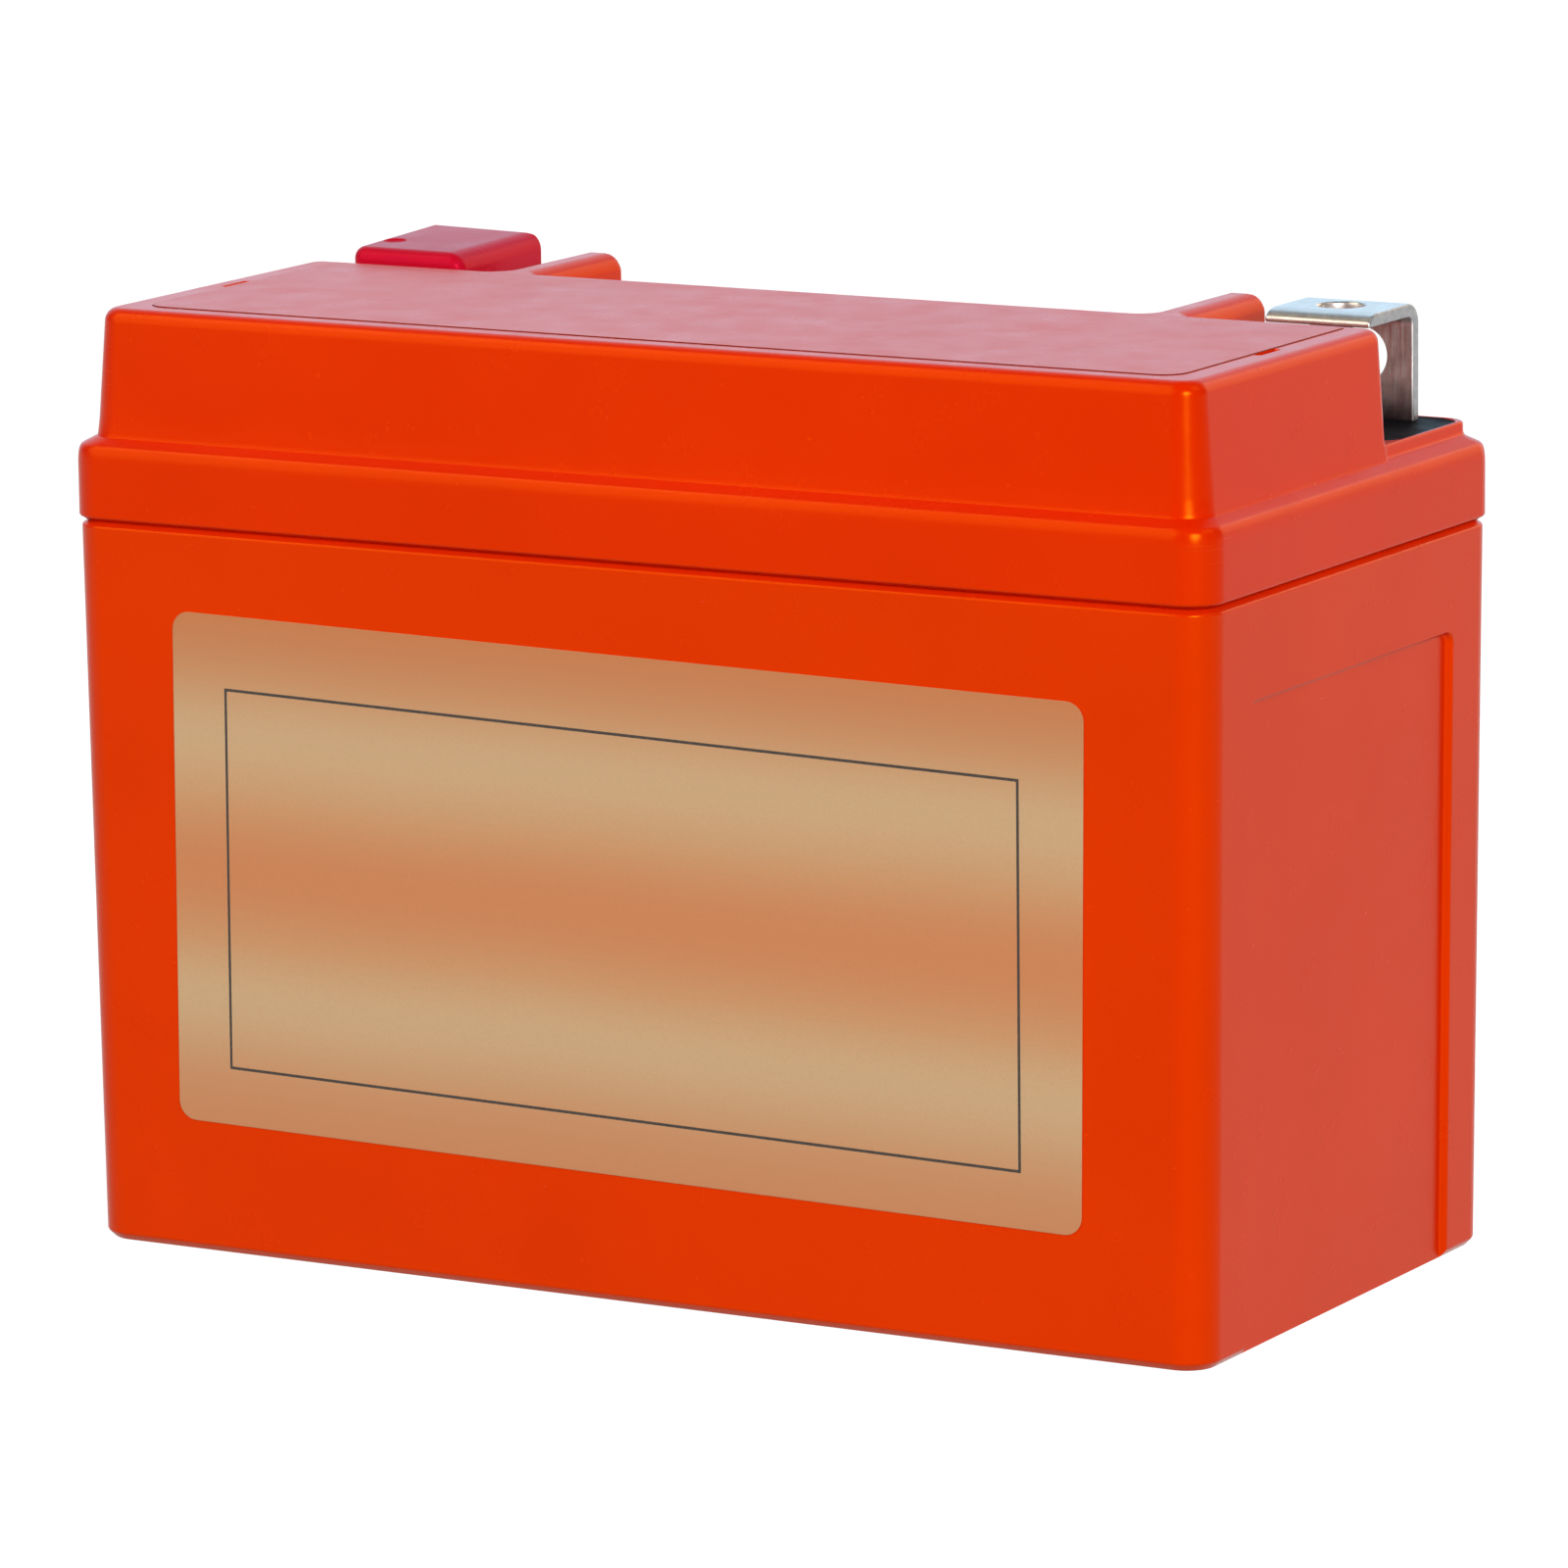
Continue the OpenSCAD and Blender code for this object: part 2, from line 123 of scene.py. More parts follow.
# ---------------------------------------------------------------- meshes
def mesh_object(name, verts, faces):
    me = bpy.data.meshes.new(name)
    me.from_pydata([(x * MM, y * MM, z * MM) for x, y, z in verts], [], faces)
    bm = bmesh.new()
    bm.from_mesh(me)
    bmesh.ops.remove_doubles(bm, verts=bm.verts, dist=2e-7)
    bmesh.ops.recalc_face_normals(bm, faces=bm.faces)
    bm.to_mesh(me)
    bm.free()
    ob = bpy.data.objects.new(name, me)
    scene.collection.objects.link(ob)
    return ob


def loft(name, loops):
    """A closed body through loops with the same number of points."""
    n = len(loops[0])
    verts = [p for loop in loops for p in loop]
    faces = []
    for k in range(len(loops) - 1):
        for i in range(n):
            j = (i + 1) % n
            faces.append((k * n + i, k * n + j, (k + 1) * n + j, (k + 1) * n + i))
    faces.append(tuple(range(n - 1, -1, -1)))
    faces.append(tuple((len(loops) - 1) * n + i for i in range(n)))
    return mesh_object(name, verts, faces)


def lathe(name, x, y, levels, n=48):
    """A round body along Z; levels are (z, r)."""
    return loft(name, [flat(circle(x, y, r, n), z) for z, r in levels])


def turn_to_y(ob):
    """Turns a body made along Z so that it lies along Y: (x, y, z) becomes (x, z, y)."""
    ob.data.transform(Matrix(((1, 0, 0, 0), (0, 0, 1, 0), (0, 1, 0, 0), (0, 0, 0, 1))))
    ob.data.flip_normals()
    return ob


def prism_x(name, outline, x0, x1):
    """A body of one outline in depth and height, along X."""
    return loft(name, [[(x, y, z) for y, z in outline] for x in (x0, x1)])


def join(name, obs):
    bm = bmesh.new()
    for o in obs:
        bm.from_mesh(o.data)
    me = bpy.data.meshes.new(name)
    bm.to_mesh(me)
    bm.free()
    for o in obs:
        drop(o)
    ob = bpy.data.objects.new(name, me)
    scene.collection.objects.link(ob)
    return ob


def drop(ob):
    me = ob.data
    bpy.data.objects.remove(ob)
    bpy.data.meshes.remove(me)


def settle(ob):
    """Makes the modifiers part of the mesh."""
    dg = bpy.context.evaluated_depsgraph_get()
    me = bpy.data.meshes.new_from_object(ob.evaluated_get(dg))
    old = ob.data
    ob.modifiers.clear()
    ob.data = me
    bpy.data.meshes.remove(old)


def carve(ob, other, how="DIFFERENCE"):
    m = ob.modifiers.new("carve", "BOOLEAN")
    m.operation = how
    m.solver = "EXACT"
    m.object = other
    settle(ob)
    drop(other)
    return ob


def tidy(ob, angle=32.0, weight=60):
    """Welds tiny gaps, then smooth shading with flat faces kept flat."""
    bm = bmesh.new()
    bm.from_mesh(ob.data)
    bmesh.ops.remove_doubles(bm, verts=bm.verts, dist=2e-6)
    bmesh.ops.dissolve_degenerate(bm, edges=bm.edges, dist=1e-6)
    bm.to_mesh(ob.data)
    bm.free()
    for p in ob.data.polygons:
        p.use_smooth = True
    ob.data.set_sharp_from_angle(angle=math.radians(angle))
    m = ob.modifiers.new("face_normals", "WEIGHTED_NORMAL")
    m.mode = "FACE_AREA"
    m.weight = weight
    m.keep_sharp = True
    return ob


def arc_levels(z_top, r, steps):
    """(height, inset) pairs round a quarter circle up to a top edge."""
    return [
        (z_top - r * (1 - math.sin(a)), r * (1 - math.cos(a)))
        for a in (math.pi / 2 * k / steps for k in range(steps + 1))
    ]


# ---------------------------------------------------------------- the box
def make_container():
    base = rect(-HL, -HD, HL, HD, CORNER_R)

    def loop(z, extra, r):
        t = 1 - z / WELD_Z
        dx, dy = BOX_IN + DRAFT_X * t + extra, BOX_IN + DRAFT_Y * t + extra
        c = inset(base, [dy, dx, dy, dx], False)
        return flat(fillet([(x, y, r) for x, y, _ in c], 12), z)

    ob = loft(
        "container_shell",
        [
            loop(0.0, 1.1, 3.9),
            loop(0.1, 0.92, 4.08),
            loop(0.87, 0.16, 4.84),
            loop(1.05, 0.06, 4.94),
            loop(1.3, 0.0, 5.0),
            loop(99.85, 0.0, 5.0),
            loop(100.1, 0.05, 4.95),
            loop(100.24, 0.16, 4.84),
            loop(100.8, 1.0, 4.0),
        ],
    )

    # six cells, with two low ribs on each floor for the plates to stand on
    hole = [
        (-39.6, 2.6), (-21, 2.6), (-21, 3.6), (-19, 3.6), (-19, 2.6),
        (19, 2.6), (19, 3.6), (21, 3.6), (21, 2.6), (39.6, 2.6), (39.6, 102.0), (-39.6, 102.0),
    ]
    carve(ob, join("cells", [prism_x(f"c{i}", hole, cell_x(i) - CELL_W / 2, cell_x(i) + CELL_W / 2) for i in range(6)]))
    welds = []
    for i in range(5):
        a = cell_x(i) + CELL_W / 2
        y = -26.0 if i % 2 == 0 else 26.0
        welds.append(prism_x(f"w{i}", circle(y, 94.6, 3.6, 32), a - 1, a + 2.6))
    carve(ob, join("welds", welds))

    # sunk panel in each end, open at the bottom, with soft edges
    for s in (-1, 1):
        loops = []
        for depth, side in (
            (1.0, 0.62), (0.985, 0.42), (0.92, 0.27), (0.78, 0.16), (0.5, 0.08),
            (0.25, 0.0), (0.1, -0.07), (0.02, -0.18), (-0.02, -0.3), (-1.2, -0.3),
        ):
            outline = fillet(inset(rect(-30.6, -6, 30.3, 86.9, 1.6), side), 6)
            loops.append([
                (s * (HL - BOX_IN - DRAFT_X * (1 - z / WELD_Z) - depth), y, z) for y, z in outline
            ])
        carve(ob, loft("panel", loops))
    return tidy(ob)


# ---------------------------------------------------------------- the lid
def block_loop(z, main, rear, arm, lift=None):
    """The raised block with its two arms. main, rear and arm are the insets of the
    outer sides, of the rear faces and of the arms; lift gives each kind's height."""
    corners = [
        (-HL, -HD, 4.5), (HL, -HD, 4.5), (HL, BLOCK_BACK, 3.0), (54.3, BLOCK_BACK, 2.6),
        (54.3, 41.0, 1.5), (47.4, 41.0, 2.0), (47.4, BLOCK_BACK, 2.0), (-47.4, BLOCK_BACK, 2.0),
        (-47.4, 41.0, 2.0), (-54.3, 41.0, 1.5), (-54.3, BLOCK_BACK, 2.6), (-HL, BLOCK_BACK, 3.0),
    ]
    kinds = "mmraaaraaarm"
    value = {"m": main, "r": rear, "a": arm}
    c = inset(corners, [value[k] for k in kinds], False)
    start = {"m": 2.2, "r": 0.0, "a": 0.0}
    out = []
    for i, (x, y, r) in enumerate(c):
        change = sum(value[k] - start[k] for k in (kinds[i - 1], kinds[i])) / 2
        concave = i in (3, 6, 7, 10)
        out.append((x, y, max(0.2, r + change if concave else r - max(0.0, change - 0.3))))
    seg = 8
    pts = fillet(out, seg)
    res = []
    for k, (x, y) in enumerate(pts):
        i, t = divmod(k, seg + 1)
        t /= seg
        if lift:
            t = t * t * (3 - 2 * t)
            h = lift[kinds[i - 1]] * (1 - t) + lift[kinds[i]] * t
        else:
            h = z
        res.append((x, y, h))
    return res


def make_lid():
    base = rect(-HL, -HD, HL, HD, CORNER_R)

    def loop(z, d, r, rear=None):
        c = inset(base, d, False)
        return flat(fillet([(x, y, rear if rear and y > 0 else r) for x, y, _ in c], 12), z)

    # rim that rises straight, rolls over, slopes up to the block and steps up to the rear deck
    levels = [
        (100.8, 1.0, 4.0), (101.32, 0.16, 4.84), (101.45, 0.05, 4.95), (101.65, 0.0, 5.0),
        (108.7, 0.0, 5.0), (109.4, 0.025, 4.98), (109.95, 0.08, 4.92), (110.4, 0.16, 4.84), (110.75, 0.26, 4.74),
        (111.02, 0.39, 4.63), (111.22, 0.54, 4.54), (111.38, 0.74, 4.5), (111.6, 1.06, 4.5), (112.0, 1.7, 4.5),
        (112.28, 2.15, 4.55, 4.35), (112.45, 2.48, 4.6, 3.5), (112.56, 2.64, 4.66, 3.1), (112.72, 2.73, 4.7, 2.95),
        (113.0, 2.78, 4.7, 2.9),
    ]
    levels += [(z, 2.8 + d, 4.72, 2.88) for z, d in arc_levels(DECK_Z, 0.36, 5)]
    ob = loft("lid_shell", [loop(*v) for v in levels])

    # block and arms
    loops = [
        block_loop(110.0, 2.0, -0.55, -0.55),
        block_loop(112.2, 2.08, -0.55, -0.55),
        block_loop(112.42, 2.15, -0.55, -0.55),
        block_loop(112.8, 2.2, -0.55, -0.55),
        block_loop(114.22, 2.33, -0.55, -0.55),
        block_loop(114.4, 2.345, -0.3, -0.3),
        block_loop(114.62, 2.362, -0.1, -0.1),
        block_loop(114.95, 2.385, 0.0, 0.0),
    ]
    rs = {"m": 1.9, "r": 1.2, "a": 2.6}
    foot = {"m": 3.36, "r": 0.1, "a": 0.1}
    for k in range(0, 9):
        a = math.pi / 2 * k / 8
        ins = {q: foot[q] + rs[q] * (1 - math.cos(a)) for q in rs}
        lift = {q: BLOCK_Z - rs[q] * (1 - math.sin(a)) for q in rs}
        loops.append(block_loop(0, ins["m"], ins["r"], ins["a"], lift))
    carve(ob, loft("block", loops), "UNION")

    # seat of the top plate
    # the plate sits against its rear and left sides, so the seam opens at the front and the right
    seat = [(-79.14, -35.78, 3.55), (79.28, -35.78, 3.55), (79.28, 13.74, 1.1), (-79.14, 13.74, 1.1)]
    carve(ob, loft("seat", [
        flat(fillet(inset(seat, [-d, -d, -0.3 * d, -0.3 * d]), 8), z)
        for z, d in ((127.6, -0.0), (129.6, 0.0), (129.7, 0.02), (129.76, 0.06), (129.8, 0.13), (130.2, 0.5))
    ]))
    # vent slots at both ends of the top plate
    carve(ob, join("slots", [
        loft(f"slot{s}", [
            flat(fillet(inset(rect(min(s * 75, s * 80.3), SEAT_MID - 3, max(s * 75, s * 80.3), SEAT_MID + 3, 0.45), -d), 5), z)
            for z, d in ((126.6, 0.0), (129.5, 0.0), (129.68, 0.05), (129.8, 0.18), (130.2, 0.6))
        ]) for s in (-1, 1)
    ]))

    # gas gallery under the plate, with the six chimneys left standing
    gallery = loft("gallery", [flat(fillet(rect(-76.1, -32.6, 76.1, 11.1, 1.5), 4), z) for z in (120.0, 127.8)])
    carve(gallery, join("chimneys", [
        lathe(f"ch{i}", cell_x(i), SEAT_MID, ((118.8, 4.4), (124.7, 4.4), (125.0, 4.1))) for i in range(6)
    ]))
    carve(ob, gallery)
    # head space over each cell
    for i in range(6):
        rear = 104.5 if i in (0, 5) else 111.8
        outline = [(-37.2, 99.8), (37.2, 99.8), (37.2, rear), (12.6, rear), (12.6, 117.4), (-37.2, 117.4)]
        carve(ob, prism_x("head", outline, cell_x(i) - CELL_W / 2, cell_x(i) + CELL_W / 2))
        carve(ob, lathe("bore", cell_x(i), SEAT_MID, ((116.4, 2.5), (126.4, 2.5)), 32))

    # terminal wells, with the holes for the posts in their floors
    wells, posts = [], []
    for s in (-1, 1):
        x0, y0, x1, y1 = WELL
        lo, hi = min(s * x0, s * x1), max(s * x0, s * x1)
        wells.append(loft(f"well{s}", [
            flat(fillet(inset(rect(lo, y0, hi, y1, WELL_R), -d), 8), z)
            for z, d in ((106.9, 0.0), (114.0, 0.0), (114.14, 0.02), (114.24, 0.06), (114.3, 0.13), (114.8, 0.13))
        ]))
        posts.append(lathe(f"post{s}", s * TERM_X, 30.4, ((103.5, 4.15), (105.3, 4.15), (105.301, 5.8), (107.4, 5.8))))
    carve(ob, join("wells", wells))
    carve(ob, join("posts", posts))
    return tidy(ob)


def make_top_plate():
    base = [(-79.1, -35.6, 3.4), (79.1, -35.6, 3.4), (79.1, 13.7, 1.0), (-79.1, 13.7, 1.0)]
    ob = loft("top_plate_panel", [
        flat(fillet(inset(base, [d, d, 0.3 * d, 0.3 * d]), 10), z)
        for z, d in ((127.7, 0.25), (127.78, 0.08), (127.9, 0.0), (129.77, 0.0), (129.85, 0.02), (129.9, 0.06), (129.92, 0.13))
    ])
    carve(ob, join("bosses", [
        lathe(f"b{i}", cell_x(i), SEAT_MID, ((127.2, 3.2), (127.3, 3.4), (127.5, 3.5), (128.2, 3.5))) for i in range(6)
    ]), "UNION")
    return tidy(ob)


# ---------------------------------------------------------------- the cap
def make_cap():
    x0, x1, y0, y1 = -79.35, -61.05, 17.9, 40.7
    base = [(x0, y0, 2.0), (x1, y0, 1.9), (x1, y1, 0.9), (x0, y1, 1.4)]

    def top(x, y):
        """The cap sits a little askew, lowest at the front and at its inner rear corner."""
        u, v = (x - x0) / (x1 - x0), (y - y0) / (y1 - y0)
        return 131.5 + 0.86 * v - 0.05 * u - 0.35 * u * v

    loops = [flat(fillet(inset(base, d), 8), z) for z, d in ((114.42, 0.3), (114.5, 0.12), (114.67, 0.0))]
    # the top edge's radius on the front, inner, rear and outer side
    radii = (1.8, 2.7, 1.9, 1.6)
    for k in range(11):
        a = math.pi / 2 * k / 10
        ring = []
        for j, (x, y) in enumerate(fillet(inset(base, [q * (1 - math.cos(a)) for q in radii]), 8)):
            i, t = divmod(j, 9)
            t = (t / 8) ** 2 * (3 - t / 4)
            q = radii[i - 1] * (1 - t) + radii[i] * t
            ring.append((x, y, top(x, y) - q * (1 - math.sin(a))))
        loops.append(ring)
    ob = loft("positive_cap_cover", loops)
    carve(ob, loft("inside", [
        flat(fillet(inset(rect(x0 + 1, y0 + 1.2, x1 - 1.2, y1 - 1.2, 0.9), d), 6), z)
        for z, d in ((113.1, -0.2), (114.42, -0.2), (114.67, 0.0), (130.1, 0.0), (130.35, 0.1), (130.5, 0.35))
    ]))
    z = top(-76.35, 25.3)
    carve(ob, lathe("dimple", -76.35, 25.3, (
        (z - 0.3, 1.15), (z - 0.28, 1.4), (z - 0.2, 1.58), (z - 0.08, 1.7), (z, 1.8), (z + 0.1, 1.98), (z + 0.6, 2.2)), 40))
    return tidy(ob)


# ---------------------------------------------------------------- terminals and resin
TERM_PROFILE = [
    (22.9, 109.1, 0.3), (38.2, 109.1, 3.0), (38.2, 130.3, 3.0), (25.4, 130.3, 3.0), (23.9, 130.05, 2.0), (22.9, 129.2, 0.6),
    (22.9, 128.5, 0.2), (36.4, 128.5, 1.2), (36.4, 110.9, 1.2), (22.9, 110.9, 0.3),
]


def make_terminal(name, s):
    loops = []
    for x, d in (
        (-7.85, 0.3), (-7.82, 0.19), (-7.74, 0.09), (-7.63, 0.02), (-7.5, 0.0),
        (7.5, 0.0), (7.63, 0.02), (7.74, 0.09), (7.82, 0.19), (7.85, 0.3),
    ):
        loops.append([(s * TERM_X + x, y, z) for y, z in fillet(inset(TERM_PROFILE, d), 8)])
    ob = loft(name, loops)
    carve(ob, lathe("h", s * TERM_X, 30.4, (
        (128.0, 3.9), (128.48, 3.56), (128.58, 3.42), (128.75, 3.32), (128.9, 3.3), (129.9, 3.3), (130.05, 3.32), (130.22, 3.42), (130.32, 3.56), (130.8, 3.9)), 64))
    carve(ob, turn_to_y(lathe("h", s * TERM_X, 122.8, (
        (35.9, 4.35), (36.38, 4.01), (36.48, 3.87), (36.65, 3.77), (36.8, 3.75), (37.8, 3.75), (37.95, 3.77), (38.12, 3.87), (38.22, 4.01), (38.7, 4.35)), 64)))
    carve(ob, lathe("h", s * TERM_X, 30.4, ((107.9, 4.05), (111.9, 4.05)), 48))
    return tidy(ob)


def make_resin(name, s):
    """Cast resin that fills a well; its surface climbs a little at the walls and at the terminal."""
    x0, y0, x1, y1 = WELL
    cx, cy, hx, hy = (x0 + x1) / 2, (y0 + y1) / 2, (x1 - x0) / 2, (y1 - y0) / 2

    def height(x, y):
        qx, qy = abs(x - cx) - hx + WELL_R, abs(y - cy) - hy + WELL_R
        wall = -(math.hypot(max(qx, 0), max(qy, 0)) + min(max(qx, qy), 0) - WELL_R)
        lx, ly = abs(x - TERM_X) - 7.85, abs(y - 37.3) - 0.9
        leg = math.hypot(max(lx, 0), max(ly, 0))
        swell = 0.05 * math.sin(x * 0.42 + 1.0) * math.sin(y * 0.37)
        return 113.93 + 0.2 * math.exp(-max(wall, 0) / 0.5) + 0.3 * math.exp(-leg / 0.45) + 0.16 * math.exp(-max(y1 - y, 0) / 1.2) + swell

    nx, ny = 72, 60
    verts, faces = [], []
    xs = [x0 - 0.4 + (x1 - x0 + 0.8) * i / nx for i in range(nx + 1)]
    ys = [y0 - 0.4 + (y1 - y0 + 0.8) * j / ny for j in range(ny + 1)]
    for y in ys:
        for x in xs:
            verts.append((s * x, y, min(height(x, y), 114.27)))
    for j in range(ny):
        for i in range(nx):
            a = j * (nx + 1) + i
            faces += [(a, a + 1, a + nx + 2), (a, a + nx + 2, a + nx + 1)]
    ring = [i for i in range(nx)] + [j * (nx + 1) + nx for j in range(ny)]
    ring += [ny * (nx + 1) + i for i in range(nx, 0, -1)] + [j * (nx + 1) for j in range(ny, 0, -1)]
    low = len(verts)
    for k in ring:
        verts.append((verts[k][0], verts[k][1], 106.92))
    for k in range(len(ring)):
        m = (k + 1) % len(ring)
        faces.append((ring[k], ring[m], low + m, low + k))
    faces.append(tuple(low + k for k in range(len(ring))))
    ob = mesh_object(name, verts, faces)
    lo, hi = min(s * x0, s * x1), max(s * x0, s * x1)
    carve(ob, loft("w", [flat(fillet(rect(lo + 0.02, y0 + 0.02, hi - 0.02, y1 - 0.02, WELL_R), 8), z) for z in (105, 116)]), "INTERSECT")
    strip = [[(s * TERM_X + x, y, z) for y, z in fillet(inset(TERM_PROFILE, -0.012), 6)] for x in (-7.862, 7.862)]
    carve(ob, loft("strip", strip))
    carve(ob, lathe("post", s * TERM_X, 30.4, ((105.9, 5.8), (106.95, 5.8), (106.951, 4.05), (110.92, 4.05))))
    return tidy(ob, 40)


# ---------------------------------------------------------------- the label film
def make_label():
    delta = math.atan(DRAFT_Y / WELD_Z)
    tilt = math.radians(-0.75)
    lx, lz = -1.0, 53.1
    ly = -HD + BOX_IN + DRAFT_Y * (1 - lz / WELD_Z) - 0.01

    def place(u, v, w):
        u, v = u * math.cos(tilt) - v * math.sin(tilt), u * math.sin(tilt) + v * math.cos(tilt)
        return (lx + u, ly - v * math.sin(delta) - w * math.cos(delta), lz + v * math.cos(delta) - w * math.sin(delta))

    film = rect(-70, -35.5, 70, 35.5, 2.6)
    line = [(-61.63, -27.65, 0.12), (61.07, -27.95, 0.12), (60.57, 24.6, 0.12), (-61.73, 25.45, 0.12)]
    seg = 8
    loops = [
        [place(u, v, w) for u, v in fillet(inset(film, d), seg)]
        for w, d in ((0.0, 0.02), (0.02, 0.0), (0.09, 0.0), (0.13, 0.03), (0.15, 0.09))
    ]
    loops += [[place(u, v, 0.15) for u, v in fillet(line, seg)]]
    loops += [[place(u, v, 0.15) for u, v in fillet(inset(line, 0.4, False), seg)]]
    ob = loft("label_film", loops)
    return ob, place, (lx, ly, lz)


# ---------------------------------------------------------------- materials
def material(name):
    m = bpy.data.materials.new(name)
    m.use_nodes = True
    t = m.node_tree
    t.nodes.clear()
    out = t.nodes.new("ShaderNodeOutputMaterial")
    b = t.nodes.new("ShaderNodeBsdfPrincipled")
    t.links.new(b.outputs["BSDF"], out.inputs["Surface"])
    return m, t, b


def coords(t, scale=None):
    tc = t.nodes.new("ShaderNodeTexCoord")
    if scale is None:
        return tc.outputs["Object"]
    mp = t.nodes.new("ShaderNodeMapping")
    mp.inputs["Scale"].default_value = scale
    t.links.new(tc.outputs["Object"], mp.inputs["Vector"])
    return mp.outputs["Vector"]


def noise(t, vec, scale, detail=2.0, rough=0.5, distort=0.0):
    n = t.nodes.new("ShaderNodeTexNoise")
    n.inputs["Scale"].default_value = scale
    n.inputs["Detail"].default_value = detail
    n.inputs["Roughness"].default_value = rough
    n.inputs["Distortion"].default_value = distort
    t.links.new(vec, n.inputs["Vector"])
    return n.outputs["Fac"]


def ramp(t, fac, lo, hi, to_lo=0.0, to_hi=1.0, kind="LINEAR"):
    n = t.nodes.new("ShaderNodeMapRange")
    n.interpolation_type = kind
    n.clamp = True
    n.inputs["From Min"].default_value = lo
    n.inputs["From Max"].default_value = hi
    n.inputs["To Min"].default_value = to_lo
    n.inputs["To Max"].default_value = to_hi
    t.links.new(fac, n.inputs["Value"])
    return n.outputs["Result"]


def mix(t, fac, a, b, how="MIX"):
    n = t.nodes.new("ShaderNodeMix")
    n.data_type = "RGBA"
    n.blend_type = how
    if isinstance(fac, (int, float)):
        n.inputs["Factor"].default_value = fac
    else:
        t.links.new(fac, n.inputs["Factor"])
    for sock, v in (("A", a), ("B", b)):
        s = [i for i in n.inputs if i.name == sock and i.type == "RGBA"][0]
        if isinstance(v, tuple):
            s.default_value = (*v, 1.0)
        else:
            t.links.new(v, s)
    return [o for o in n.outputs if o.type == "RGBA"][0]


def math_node(t, op, a, b=None):
    n = t.nodes.new("ShaderNodeMath")
    n.operation = op
    for i, v in enumerate((a, b)):
        if v is None:
            continue
        if isinstance(v, (int, float)):
            n.inputs[i].default_value = v
        else:
            t.links.new(v, n.inputs[i])
    return n.outputs[0]


def bump(t, height, strength, distance, normal=None):
    n = t.nodes.new("ShaderNodeBump")
    n.inputs["Strength"].default_value = strength
    n.inputs["Distance"].default_value = distance
    t.links.new(height, n.inputs["Height"])
    if normal is not None:
        t.links.new(normal, n.inputs["Normal"])
    return n.outputs["Normal"]


def moulded_plastic(name, deep, light, rough, ior, tint, speck=0.09, scratch=0.05, fine=0.04, along=(90.0, 90.0, 4200.0)):
    """Glossy moulded plastic: cloudy tint, fine grain, dust specks, a few hairline scuffs."""
    m, t, b = material(name)
    v = coords(t)
    cloud = ramp(t, noise(t, v, 28.0, 3.0, 0.55), 0.3, 0.7)
    col = mix(t, cloud, deep, light)
    grain = ramp(t, noise(t, v, 2600.0, 2.0, 0.6), 0.25, 0.75)
    dark = tuple(c * (1 - fine) for c in deep)
    col = mix(t, math_node(t, "MULTIPLY", grain, fine * 6), col, dark)
    # dust specks: one dot in a few of the cells
    vo = t.nodes.new("ShaderNodeTexVoronoi")
    vo.feature = "F1"
    vo.inputs["Scale"].default_value = 230.0
    t.links.new(v, vo.inputs["Vector"])
    sep = t.nodes.new("ShaderNodeSeparateColor")
    t.links.new(vo.outputs["Color"], sep.inputs["Color"])
    dot = ramp(t, vo.outputs["Distance"], 0.02, 0.045, 1.0, 0.0)
    some = ramp(t, sep.outputs["Red"], 0.9, 0.94)
    col = mix(t, math_node(t, "MULTIPLY", math_node(t, "MULTIPLY", dot, some), speck), col, (0.95, 0.42, 0.3))
    # hairline scuffs: long thin streaks kept to small patches
    hair = ramp(t, noise(t, coords(t, along), 1.0, 1.0, 0.4, 0.6), 0.7, 0.76)
    patch = ramp(t, noise(t, v, 34.0, 1.0), 0.6, 0.75)
    scuff = math_node(t, "MULTIPLY", hair, patch)
    col = mix(t, math_node(t, "MULTIPLY", scuff, scratch), col, (0.92, 0.3, 0.18))
    t.links.new(col, b.inputs["Base Color"])
    r = ramp(t, noise(t, v, 140.0, 3.0, 0.6), 0.3, 0.7, rough - 0.035, rough + 0.035)
    r = math_node(t, "ADD", r, math_node(t, "MULTIPLY", scuff, 0.04))
    t.links.new(r, b.inputs["Roughness"])
    b.inputs["IOR"].default_value = ior
    b.inputs["Specular Tint"].default_value = (*tint, 1.0)
    n1 = bump(t, noise(t, v, 45.0, 1.0), 0.15, 0.0005)
    n2 = bump(t, noise(t, v, 1900.0, 2.0, 0.6), 0.12, 0.00002, n1)
    t.links.new(n2, b.inputs["Normal"])
    return m


